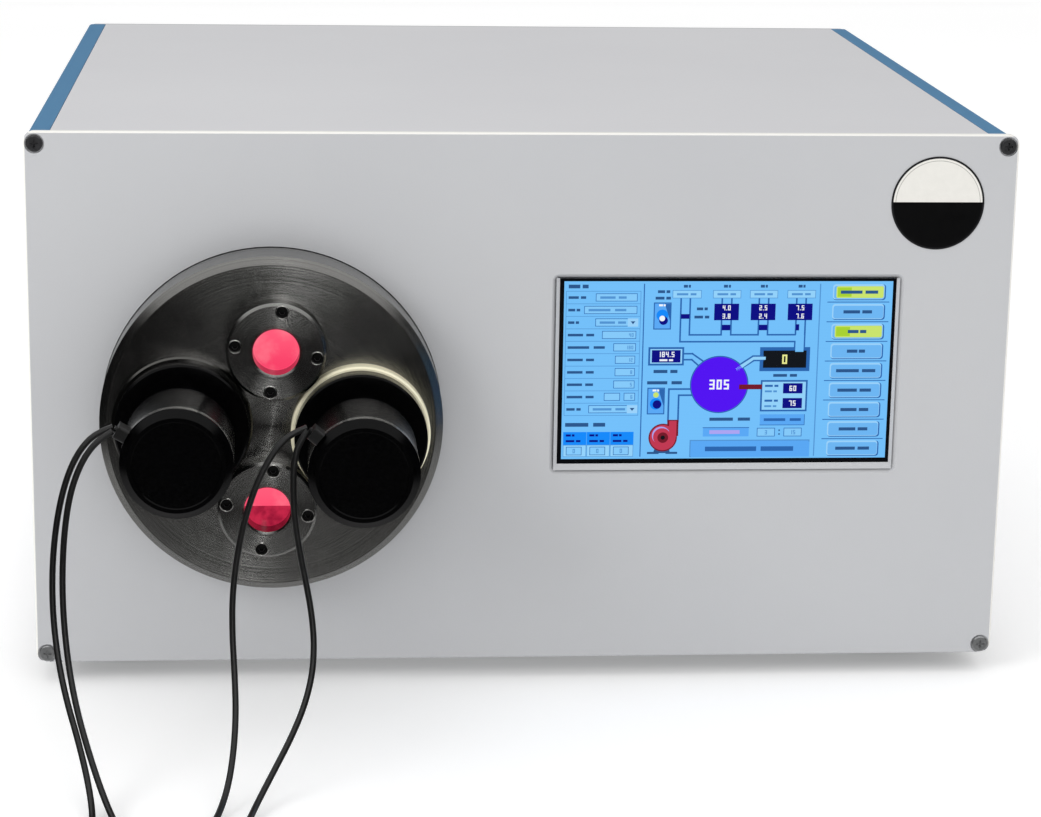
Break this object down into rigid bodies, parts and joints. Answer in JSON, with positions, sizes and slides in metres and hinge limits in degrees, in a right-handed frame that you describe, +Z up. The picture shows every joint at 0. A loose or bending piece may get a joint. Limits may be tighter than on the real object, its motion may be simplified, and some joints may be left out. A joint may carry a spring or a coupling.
{
  "type": "plasma cleaner",
  "caption": "Desktop plasma cleaner with a sliding steel chamber door, two withdrawable specimen holders with leads, viewports and a touch screen.",
  "frame": {"origin": "under the middle of the machine, leads left out, on the bench top", "axes": "+Z up, the front with the door and screen faces -Y, +X to the right seen from the front"},
  "size_m": [0.445, 0.6836, 0.256],
  "materials": {
    "panel_paint": "fine-textured light grey powder coat",
    "cover_paint": "smooth pale grey paint",
    "rail_blue": "blue anodised extrusion",
    "bare_aluminium": "plain rolled or milled",
    "turned_steel": "radially turned stainless steel",
    "polished_steel": "polished stainless steel",
    "black_anodised": "glossy black anodised",
    "black_steel": "black oxide",
    "screw_steel": "plated",
    "quartz": "clear quartz",
    "sight_glass": "clear glass with the pink glow behind it",
    "touch_face": "glossy touch glass",
    "display_shell": "matt black",
    "seal_rubber": "matt",
    "copper_sheet": "bare copper",
    "brass_part": "machined",
    "black_plastic": "moulded",
    "lead_jacket": "smooth black jacket",
    "circuit_green": "circuit board",
    "foot_rubber": "matt"
  },
  "bodies": {
    "housing": {"front_panel": "panel_paint", "rear_panel": "panel_paint", "top_cover": "cover_paint", "bottom_panel": "bare_aluminium", "side_panel_left": "cover_paint", "side_panel_right": "cover_paint", "top_rails": "rail_blue", "bottom_rails": "bare_aluminium", "feet": "foot_rubber", "panel_screws": "screw_steel", "chamber_flange": "turned_steel", "chamber_tube": "quartz", "rear_flange": "bare_aluminium", "tube_seals": "seal_rubber", "tie_rods": "polished_steel", "electrodes": "copper_sheet", "guide_bushes": "brass_part", "touch_glass": "touch_face", "display_module": "display_shell", "pump_pipes": "polished_steel", "pump_valve": "bare_aluminium", "pressure_gauge": "bare_aluminium", "gas_manifold": "brass_part", "flow_controllers": "bare_aluminium", "fan_frame": "black_plastic", "fan_guard": "polished_steel", "power_inlet": "black_plastic", "rf_generator": "bare_aluminium", "matching_box": "bare_aluminium", "power_supply": "bare_aluminium", "controller_board": "circuit_green"},
    "door": {"door_disc": "turned_steel", "door_seals": "seal_rubber", "guide_rods": "polished_steel", "sample_tray": "polished_steel", "tray_bracket": "polished_steel", "viewport_flanges": "turned_steel", "viewport_glasses": "sight_glass", "viewport_screws": "black_steel", "port_bosses": "polished_steel"},
    "holder_left": {"holder_collar_left": "black_anodised", "holder_grip_left": "black_anodised", "holder_band_left": "polished_steel", "holder_cap_left": "black_anodised", "holder_probe_left": "brass_part", "lead_clip_left": "black_plastic", "lead_left_outer": "lead_jacket", "lead_left_inner": "lead_jacket", "lead_plugs_left": "black_plastic"},
    "holder_right": {"holder_collar_right": "black_anodised", "holder_grip_right": "black_anodised", "holder_band_right": "polished_steel", "holder_cap_right": "black_anodised", "holder_probe_right": "brass_part", "lead_clip_right": "black_plastic", "lead_right_inner": "lead_jacket", "lead_right_outer": "lead_jacket", "lead_plugs_right": "black_plastic"},
    "fan_wheel": {"fan_rotor": "black_plastic"},
    "rocker": {"power_rocker": "black_plastic"}
  },
  "joints": [
    {"name": "door_slide", "type": "slide", "parent": "housing", "child": "door", "axis": [0, -1, 0], "range_m": [0, 0.19]},
    {"name": "holder_left_slide", "type": "slide", "parent": "door", "child": "holder_left", "axis": [0, -1, 0], "range_m": [0, 0.15]},
    {"name": "holder_right_slide", "type": "slide", "parent": "door", "child": "holder_right", "axis": [0, -1, 0], "range_m": [0, 0.15]},
    {"name": "fan_spin", "type": "hinge", "parent": "housing", "child": "fan_wheel", "pos_m": [0.14, 0.22825, 0.165], "axis": [0, 1, 0], "continuous": true},
    {"name": "power_rocker_tilt", "type": "hinge", "parent": "housing", "child": "rocker", "pos_m": [0.165, 0.24125, 0.062], "axis": [1, 0, 0], "range_deg": [0, 13]}
  ]
}
